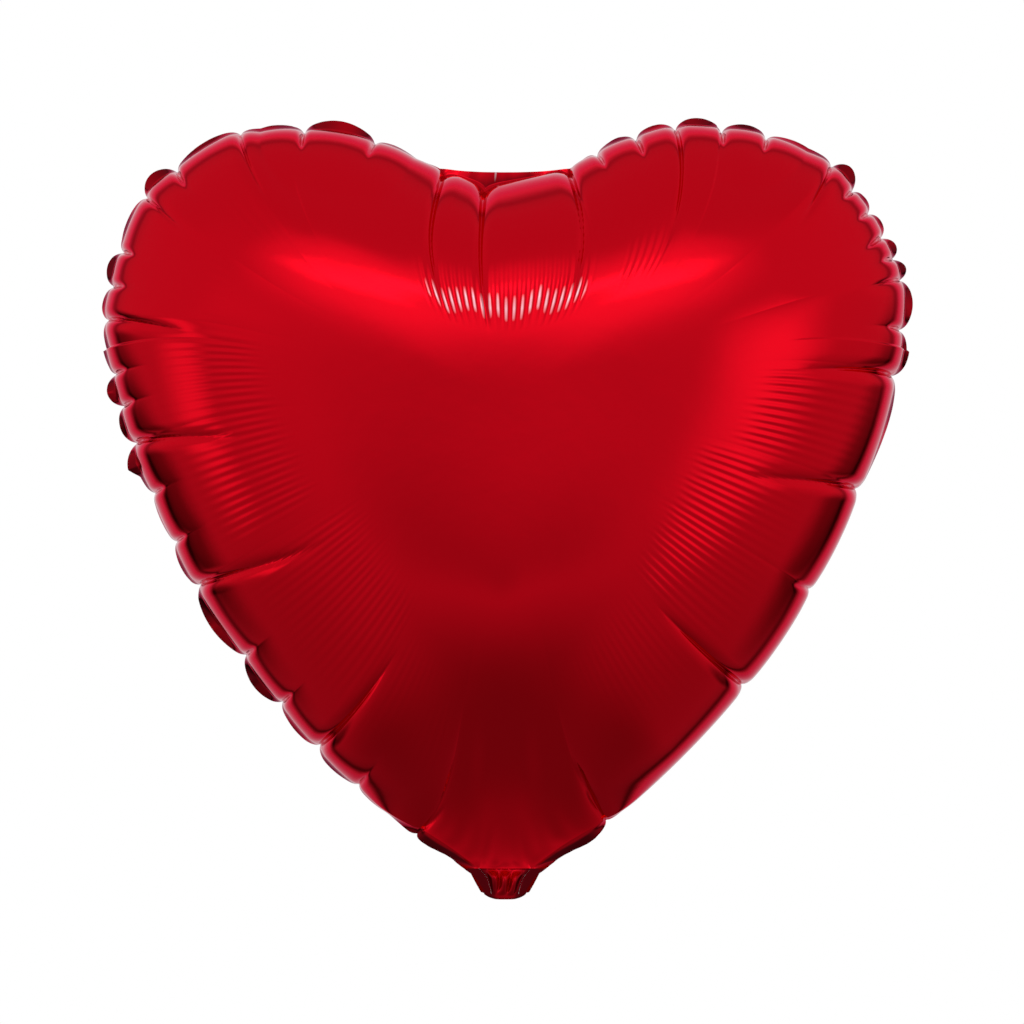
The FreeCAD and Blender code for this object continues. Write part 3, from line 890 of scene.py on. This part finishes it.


# %% [markdown]
# ### Red metallised film
# The sheet is nylon with a skin of aluminium, under a clear red lacquer. A red coat over plain
# aluminium would be truest. One metal with a red base colour and a paler tint at grazing angles is
# simpler, and is used here. Two attributes paint light and shade that the mesh is too coarse to
# mirror: a painted highlight on tight crests and on the taut edge in the cleft, and painted shade on
# the weld, neck and tail.

# %% Red film as a tinted mirror
def red_metallised_film():
    """Nylon film with vapour-deposited aluminium under a clear red lacquer: a tinted soft mirror."""
    material, tree = new_material("red_metallised_film")
    place = add(tree, "ShaderNodeTexCoord").outputs["Object"]
    grain = add(tree, "ShaderNodeTexNoise", {"Vector": place, "Scale": 55.0, "Detail": 3.0})
    bump = add(tree, "ShaderNodeBump", {
        "Height": grain.outputs["Fac"], "Strength": 0.05, "Distance": 0.002})
    # Painted highlight: the ripples' tight crests and the taut edge in the cleft are made paler.
    painted_highlight = add(tree, "ShaderNodeAttribute", attribute_name="painted_highlight").outputs["Fac"]
    crest_highlight = add(tree, "ShaderNodeMapRange", {"Value": painted_highlight, "From Min": 0.9, "From Max": 1.9})
    colour = add(tree, "ShaderNodeMix", {  # tight crests of the ripples are painted paler
        "Factor": crest_highlight.outputs["Result"], "A": linear("#E6001A"), "B": linear("#FFB9C2")},
        data_type="RGBA")
    # Painted shade: the welded edge, neck and tail are made darker.
    painted_shade = add(tree, "ShaderNodeAttribute", attribute_name="painted_shade").outputs["Fac"]
    colour = add(tree, "ShaderNodeMix", {  # welded edge, neck and tail are painted darker
        "Factor": painted_shade, "A": colour.outputs["Result"], "B": linear("#6E000E")}, data_type="RGBA")
    shader = add(tree, "ShaderNodeBsdfPrincipled", {
        "Base Color": colour.outputs["Result"], "Metallic": 1.0, "Roughness": 0.08,
        "Specular Tint": linear("#EEB2C4"), "Coat Weight": 0.08, "Coat Roughness": 0.05,
        "Coat IOR": 1.5, "Normal": bump.outputs["Normal"]})
    finish_material(tree, shader)
    return material


film = red_metallised_film()
for sheet in (front_sheet, rear_sheet):
    sheet.data.materials.append(film)
print("material", film.name, "on both sheets")


# %% [markdown]
# ### The valve's plastics
# The valve films are plain polyethylene, which is clear and waxy, and the ink is a matte print. Both
# are hidden inside the balloon, so each is one simple shader with a little unevenness.

# %% Valve films and their coating
def clear_valve_film():
    """Polyethylene film: clear, slightly milky, with a waxy gloss."""
    material, tree = new_material("clear_polyethylene_film")
    place = add(tree, "ShaderNodeTexCoord").outputs["Object"]
    haze = add(tree, "ShaderNodeTexNoise", {"Vector": place, "Scale": 180.0, "Detail": 2.0})
    rough = add(tree, "ShaderNodeMapRange", {
        "Value": haze.outputs["Fac"], "To Min": 0.18, "To Max": 0.34})
    shader = add(tree, "ShaderNodeBsdfPrincipled", {
        "Base Color": linear("#E6E7E8"), "Roughness": rough.outputs["Result"], "IOR": 1.51,
        "Transmission Weight": 0.6})
    finish_material(tree, shader)
    return material


def release_coating():
    """Heat-proof ink printed on the valve: matte, thin and a little streaky."""
    material, tree = new_material("heat_proof_release_ink")
    place = add(tree, "ShaderNodeTexCoord").outputs["Object"]
    streaks = add(tree, "ShaderNodeTexNoise", {"Vector": place, "Scale": 400.0, "Detail": 2.0})
    colour = add(tree, "ShaderNodeMix", {
        "Factor": streaks.outputs["Fac"], "A": linear("#C9D0DA"), "B": linear("#DDE2EA")},
        data_type="RGBA")
    shader = add(tree, "ShaderNodeBsdfPrincipled", {
        "Base Color": colour.outputs["Result"], "Roughness": 0.55, "IOR": 1.5})
    finish_material(tree, shader)
    return material


# %% [markdown]
# ## The valve inside the neck
# The valve is two flat films between the sheets, with a patch of heat-proof ink between them that
# keeps them from welding shut. They gather in with the neck, so each is a flat grid narrowed with it.

# %% Valve strips
VALVE_GAP = 0.07 * MM  # from the middle of the neck to each film


def valve_strip(name, node, y, material):
    """A flat strip the size of one piece of the valve, narrowed where the neck is."""
    low, high = (np.array(corner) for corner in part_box(node))
    bm = bmesh.new()
    bmesh.ops.create_grid(bm, x_segments=24, y_segments=80, size=0.5)
    bmesh.ops.transform(bm, verts=bm.verts, matrix=Matrix.Rotation(math.pi / 2, 4, "X"))
    for vert in bm.verts:
        x = mix(low[0], high[0], vert.co.x + 0.5)
        z = mix(low[2], high[2], vert.co.z + 0.5)
        below = np.array([max(NECK_CORNER[1] - z, 0.0)])
        vert.co = (x * float(strip_width(below)[0]) / NECK_CORNER[0], y, z)
    mesh = bpy.data.meshes.new(name)
    bm.to_mesh(mesh)
    bm.free()
    mesh.materials.append(material)
    strip = bpy.data.objects.new(name, mesh)
    bpy.context.scene.collection.objects.link(strip)
    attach(strip, "envelope")
    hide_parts(node)


valve_film, ink = clear_valve_film(), release_coating()
valve_film["slot"], ink["slot"] = "clear_valve_film", "release_coating"
valve_strip("valve_front_strip", "valve_front_film", -VALVE_GAP, valve_film)
valve_strip("valve_rear_strip", "valve_rear_film", VALVE_GAP, valve_film)
valve_strip("valve_ink_patch", "valve_release_coating", 0.0, ink)

# %% [markdown]
# ## Studio
# A mirror shows the room more than its own colour. The balloon hangs in front of a white backdrop,
# with a broad soft light and a bare tube high in front of it, smaller lights at the sides, dark
# stands and a dim floor. Lamps would leave the mirror black between them.
# The room is painted on the world by direction, so every part of the mirror finds something soft.

# %% Room
def soft_patch(tree, direction, centre, spread, hardness, brightness):
    """Light from one side of the room: an oval patch with soft edges."""
    offset = add(tree, "ShaderNodeVectorMath", {0: direction, 1: centre}, operation="SUBTRACT")
    scaled = add(tree, "ShaderNodeVectorMath", {0: offset.outputs[0], 1: spread}, operation="DIVIDE")
    away = add(tree, "ShaderNodeVectorMath", {0: scaled.outputs[0]}, operation="LENGTH")
    level = add(tree, "ShaderNodeMapRange", {
        "Value": away.outputs["Value"], "From Min": hardness, "From Max": 1.0,
        "To Min": brightness, "To Max": 0.0}, interpolation_type="SMOOTHSTEP")
    return level.outputs["Result"]


# Each patch: the direction of its middle, its reach along X, Y and Z, how hard its edge is from 0
# to 1, and its brightness. A patch below zero is a dark thing in the room.
ROOM_PATCHES = (
    ((0.0, 1.0, 0.0), (1.5, 0.95, 1.5), 0.45, -0.24),  # dim sides, next to the backdrop
    ((0.0, 1.0, 0.0), (0.95, 1.3, 0.995), 0.90, -0.16),  # dark gap round the backdrop
    ((0.0, 1.0, 0.0), (0.84, 1.3, 0.95), 0.78, 0.62),  # white backdrop
    ((-0.86, 0.42, -0.35), (0.22, 0.45, 0.45), 0.25, -0.30),  # dark stands beside the backdrop
    ((0.86, 0.42, -0.35), (0.22, 0.45, 0.45), 0.25, -0.28),
    ((-0.90, -0.38, -0.18), (0.17, 0.5, 0.26), 0.10, 0.42),  # narrow light on the left
    ((0.0, -0.9, 0.42), (0.62, 0.9, 0.40), 0.10, 0.52),  # broad soft light above the camera
    ((0.0, -0.88, 0.46), (0.42, 0.9, 0.08), 0.10, 0.9),  # bare tube in it
    ((0.64, -0.76, -0.06), (0.42, 0.7, 0.30), 0.10, 0.52),  # low light on the right
    ((-0.60, -0.80, 0.10), (0.40, 0.7, 0.35), 0.10, 0.05),  # weak light on the left
    ((-0.04, -1.0, -0.14), (0.36, 0.7, 0.26), 0.10, -0.14),  # camera and its stand
    ((0.0, -0.1, 1.1), (1.5, 1.5, 0.65), 0.30, -0.06),  # dark ceiling
)
ROOM_ABOVE, ROOM_BELOW = 0.62, 0.19
DARKEST = 0.02


def room():
    """Paints the room on the world: a wall that is darker below, and the patches over it."""
    world = bpy.data.worlds.new("studio")
    world.use_nodes = True
    tree = world.node_tree
    tree.nodes.clear()
    direction = add(tree, "ShaderNodeTexCoord").outputs["Generated"]
    height = add(tree, "ShaderNodeSeparateXYZ", {0: direction}).outputs["Z"]
    total = add(tree, "ShaderNodeMapRange", {
        "Value": height, "From Min": -1.0, "From Max": 0.1,
        "To Min": ROOM_BELOW, "To Max": ROOM_ABOVE}).outputs[0]
    for patch in ROOM_PATCHES:
        light = soft_patch(tree, direction, *patch)
        total = add(tree, "ShaderNodeMath", {0: total, 1: light}, operation="ADD").outputs[0]
    level = add(tree, "ShaderNodeMath", {0: total, 1: DARKEST}, operation="MAXIMUM").outputs[0]
    to_camera = add(tree, "ShaderNodeLightPath").outputs["Is Camera Ray"]
    shown = add(tree, "ShaderNodeMix", {"Factor": to_camera, "A": level, "B": 1.0})
    background = add(tree, "ShaderNodeBackground", {
        "Color": (1, 1, 1, 1), "Strength": shown.outputs[0]})
    add(tree, "ShaderNodeOutputWorld", {"Surface": background.outputs[0]})
    bpy.context.scene.world = world


room()
print("room:", len(ROOM_PATCHES), "soft patches")

# %% [markdown]
# A plain pale floor lies well below the balloon. It is a single disc, hidden from the mirror.

# %% Floor
FLOOR_DROP = 1.0
FLOOR_RADIUS = 9.0
bm = bmesh.new()
bmesh.ops.create_circle(bm, cap_ends=True, segments=96, radius=FLOOR_RADIUS)
bmesh.ops.translate(bm, verts=bm.verts, vec=(0, 0, -FLOOR_DROP))
floor_mesh = bpy.data.meshes.new("floor")
bm.to_mesh(floor_mesh)
bm.free()
floor_material, floor_tree = new_material("pale_matte_paint")
finish_material(floor_tree, add(floor_tree, "ShaderNodeBsdfPrincipled", {
    "Base Color": linear("#F4F3F1"), "Roughness": 0.9}))
floor_mesh.materials.append(floor_material)
floor = bpy.data.objects.new("floor", floor_mesh)
floor.visible_glossy = False  # the mirror sees the painted room instead
bpy.context.scene.collection.objects.link(floor)

# %% [markdown]
# The camera looks straight at the front from a little over two metres, with a long lens.

# %% Camera
CAMERA_DISTANCE = 2.4
CAMERA_ASIDE, CAMERA_HEIGHT = 0.0034, 0.187
FRAME_WIDTH = 0.497
SENSOR = 36.0
camera_data = bpy.data.cameras.new("camera")
camera_data.sensor_width = SENSOR
camera_data.lens = SENSOR * CAMERA_DISTANCE / FRAME_WIDTH
camera = bpy.data.objects.new("camera", camera_data)
camera.location = (CAMERA_ASIDE, -CAMERA_DISTANCE, CAMERA_HEIGHT)
camera.rotation_euler = (math.pi / 2, 0, 0)
bpy.context.scene.collection.objects.link(camera)
bpy.context.scene.camera = camera
bpy.context.scene.view_settings.view_transform = "Standard"
print(f"camera: {camera_data.lens:.0f} mm lens, {CAMERA_DISTANCE} m away")

# %% [markdown]
# ## The sheets in place of the frame's parts
# Each sheet stands for one panel and one layer of the tail, and those parts of the frame are hidden.

# %% Sheets in place of the frame's parts
for sheet, nodes in (
    (front_sheet, ("front_panel", "front_tail_layer")),
    (rear_sheet, ("rear_panel", "rear_tail_layer")),
):
    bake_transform(sheet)
    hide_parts(*nodes)
